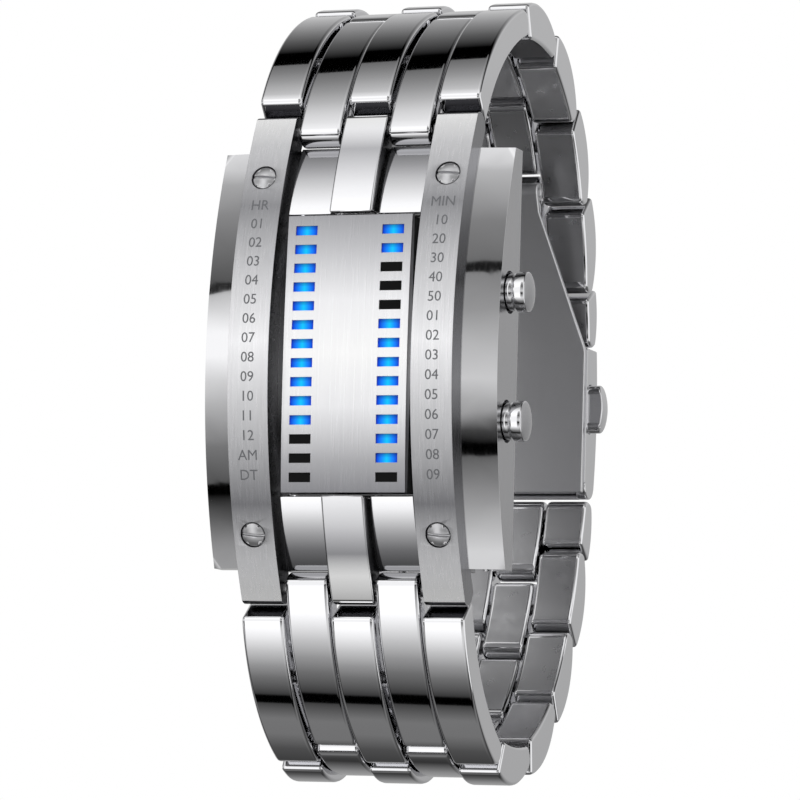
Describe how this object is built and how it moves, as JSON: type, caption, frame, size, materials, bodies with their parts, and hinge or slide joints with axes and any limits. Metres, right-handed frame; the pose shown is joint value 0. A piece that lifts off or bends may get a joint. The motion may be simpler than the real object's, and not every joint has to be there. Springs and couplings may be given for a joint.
{
  "type": "led watch",
  "caption": "Digital bracelet watch with a curved rectangular steel case, two columns of lamp windows, two side pushers and a five-column link bracelet on a folding clasp.",
  "frame": {"origin": "centre of the case back's flat face, which rests on the wrist", "axes": "+Z towards the 12 o'clock end of the case, +Y out of the case back towards the clasp (the display faces -Y), +X towards the side with the two pushers"},
  "size_m": [0.031, 0.0455, 0.0755],
  "materials": {
    "black_plastic": "matte",
    "blue_lens": "lit blue",
    "board_laminate": "laminate",
    "cell_steel": "plated",
    "chip_resin": "moulded",
    "dark_lens": "smoked",
    "frame_plastic": "moulded",
    "pin_steel": "polished",
    "polished_steel": "polished",
    "satin_steel": "brushed",
    "seal_rubber": "matte",
    "strap_brass": "plated"
  },
  "bodies": {
    "watch_case": {"mid_case": "polished_steel", "rail_left": "satin_steel", "rail_right": "satin_steel", "rail_screws": "pin_steel", "centre_strips": "polished_steel", "flank_left": "polished_steel", "flank_right": "polished_steel", "flank_dowels": "pin_steel", "lug_pins": "pin_steel", "case_back": "satin_steel", "back_screws": "pin_steel", "back_gasket": "seal_rubber", "display_plate": "satin_steel", "light_mask": "black_plastic", "lamp_lenses_lit": "blue_lens", "lamp_lenses_dark": "dark_lens", "led_chips": "chip_resin", "circuit_board": "board_laminate", "module_frame": "frame_plastic", "push_switches": "black_plastic", "coin_cells": "cell_steel", "contact_strap": "strap_brass", "pusher_tubes": "polished_steel", "pusher_seals": "seal_rubber"},
    "bracelet_12h_1": {"link_12h_1": "polished_steel", "link_pins_12h_1": "pin_steel"},
    "bracelet_12h_2": {"link_12h_2": "polished_steel", "link_pins_12h_2": "pin_steel"},
    "bracelet_12h_3": {"link_12h_3": "polished_steel", "link_pins_12h_3": "pin_steel"},
    "bracelet_12h_4": {"link_12h_4": "polished_steel", "link_pins_12h_4": "pin_steel"},
    "bracelet_12h_5": {"link_12h_5": "polished_steel", "link_pins_12h_5": "pin_steel"},
    "bracelet_12h_6": {"link_12h_6": "polished_steel", "link_pins_12h_6": "pin_steel"},
    "bracelet_6h_1": {"link_6h_1": "polished_steel", "link_pins_6h_1": "pin_steel"},
    "bracelet_6h_2": {"link_6h_2": "polished_steel", "link_pins_6h_2": "pin_steel"},
    "bracelet_6h_3": {"link_6h_3": "polished_steel", "link_pins_6h_3": "pin_steel"},
    "bracelet_6h_4": {"link_6h_4": "polished_steel", "link_pins_6h_4": "pin_steel"},
    "bracelet_6h_5": {"link_6h_5": "polished_steel", "link_pins_6h_5": "pin_steel"},
    "bracelet_6h_6": {"link_6h_6": "polished_steel", "link_pins_6h_6": "pin_steel"},
    "short_blade": {"clasp_short_blade": "satin_steel"},
    "long_blade": {"clasp_long_blade": "satin_steel", "clasp_blade_pin": "pin_steel"},
    "cover": {"clasp_cover": "polished_steel", "clasp_cover_pin": "pin_steel", "clasp_spring": "pin_steel"},
    "button_left": {"clasp_button_left": "polished_steel"},
    "button_right": {"clasp_button_right": "polished_steel"},
    "pusher_upper": {"pusher_2h": "polished_steel", "pusher_spring_2h": "pin_steel"},
    "pusher_lower": {"pusher_4h": "polished_steel", "pusher_spring_4h": "pin_steel"}
  },
  "joints": [
    {"name": "bend_12h_1", "type": "hinge", "parent": "watch_case", "child": "bracelet_12h_1", "pos_m": [0, -0.00298, 0.0215], "axis": [1, 0, 0], "range_deg": [0, 20]},
    {"name": "bend_12h_2", "type": "hinge", "parent": "bracelet_12h_1", "child": "bracelet_12h_2", "pos_m": [0, 0.00954, 0.03359], "axis": [1, 0, 0], "range_deg": [0, 20]},
    {"name": "bend_12h_3", "type": "hinge", "parent": "bracelet_12h_2", "child": "bracelet_12h_3", "pos_m": [0, 0.01844, 0.03344], "axis": [1, 0, 0], "range_deg": [0, 20]},
    {"name": "bend_12h_4", "type": "hinge", "parent": "bracelet_12h_3", "child": "bracelet_12h_4", "pos_m": [0, 0.02571, 0.02832], "axis": [1, 0, 0], "range_deg": [0, 20]},
    {"name": "bend_12h_5", "type": "hinge", "parent": "bracelet_12h_4", "child": "bracelet_12h_5", "pos_m": [0, 0.03027, 0.02067], "axis": [1, 0, 0], "range_deg": [0, 20]},
    {"name": "bend_12h_6", "type": "hinge", "parent": "bracelet_12h_5", "child": "bracelet_12h_6", "pos_m": [0, 0.03286, 0.01216], "axis": [1, 0, 0], "range_deg": [0, 20]},
    {"name": "bend_6h_1", "type": "hinge", "parent": "watch_case", "child": "bracelet_6h_1", "pos_m": [0, -0.00298, -0.0215], "axis": [-1, 0, 0], "range_deg": [0, 22]},
    {"name": "bend_6h_2", "type": "hinge", "parent": "bracelet_6h_1", "child": "bracelet_6h_2", "pos_m": [0, 0.00688, -0.03584], "axis": [-1, 0, 0], "range_deg": [0, 22]},
    {"name": "bend_6h_3", "type": "hinge", "parent": "bracelet_6h_2", "child": "bracelet_6h_3", "pos_m": [0, 0.01575, -0.03654], "axis": [-1, 0, 0], "range_deg": [0, 22]},
    {"name": "bend_6h_4", "type": "hinge", "parent": "bracelet_6h_3", "child": "bracelet_6h_4", "pos_m": [0, 0.0235, -0.03217], "axis": [-1, 0, 0], "range_deg": [0, 22]},
    {"name": "bend_6h_5", "type": "hinge", "parent": "bracelet_6h_4", "child": "bracelet_6h_5", "pos_m": [0, 0.02883, -0.02504], "axis": [-1, 0, 0], "range_deg": [0, 22]},
    {"name": "bend_6h_6", "type": "hinge", "parent": "bracelet_6h_5", "child": "bracelet_6h_6", "pos_m": [0, 0.03229, -0.01685], "axis": [-1, 0, 0], "range_deg": [0, 22]},
    {"name": "fold_short_blade", "type": "hinge", "parent": "bracelet_12h_6", "child": "short_blade", "pos_m": [0, 0.0341, 0.0068], "axis": [1, 0, 0], "range_deg": [0, 90]},
    {"name": "fold_long_blade", "type": "hinge", "parent": "short_blade", "child": "long_blade", "pos_m": [0, 0.0254, 0.0198], "axis": [-1, 0, 0], "range_deg": [0, 60]},
    {"name": "lift_cover", "type": "hinge", "parent": "long_blade", "child": "cover", "pos_m": [0, 0.0341, -0.00845], "axis": [-1, 0, 0], "range_deg": [0, 75]},
    {"name": "press_button_left", "type": "slide", "parent": "cover", "child": "button_left", "axis": [1, 0, 0], "range_m": [0, 0.0006], "stiffness_N_per_m": 300, "springref_m": -0.0008},
    {"name": "press_button_right", "type": "slide", "parent": "cover", "child": "button_right", "axis": [-1, 0, 0], "range_m": [0, 0.0006], "stiffness_N_per_m": 300, "springref_m": -0.0008},
    {"name": "press_pusher_upper", "type": "slide", "parent": "watch_case", "child": "pusher_upper", "axis": [-1, 0, 0], "range_m": [0, 0.0006], "stiffness_N_per_m": 300, "springref_m": -0.0008},
    {"name": "press_pusher_lower", "type": "slide", "parent": "watch_case", "child": "pusher_lower", "axis": [-1, 0, 0], "range_m": [0, 0.0006], "stiffness_N_per_m": 300, "springref_m": -0.0008}
  ]
}
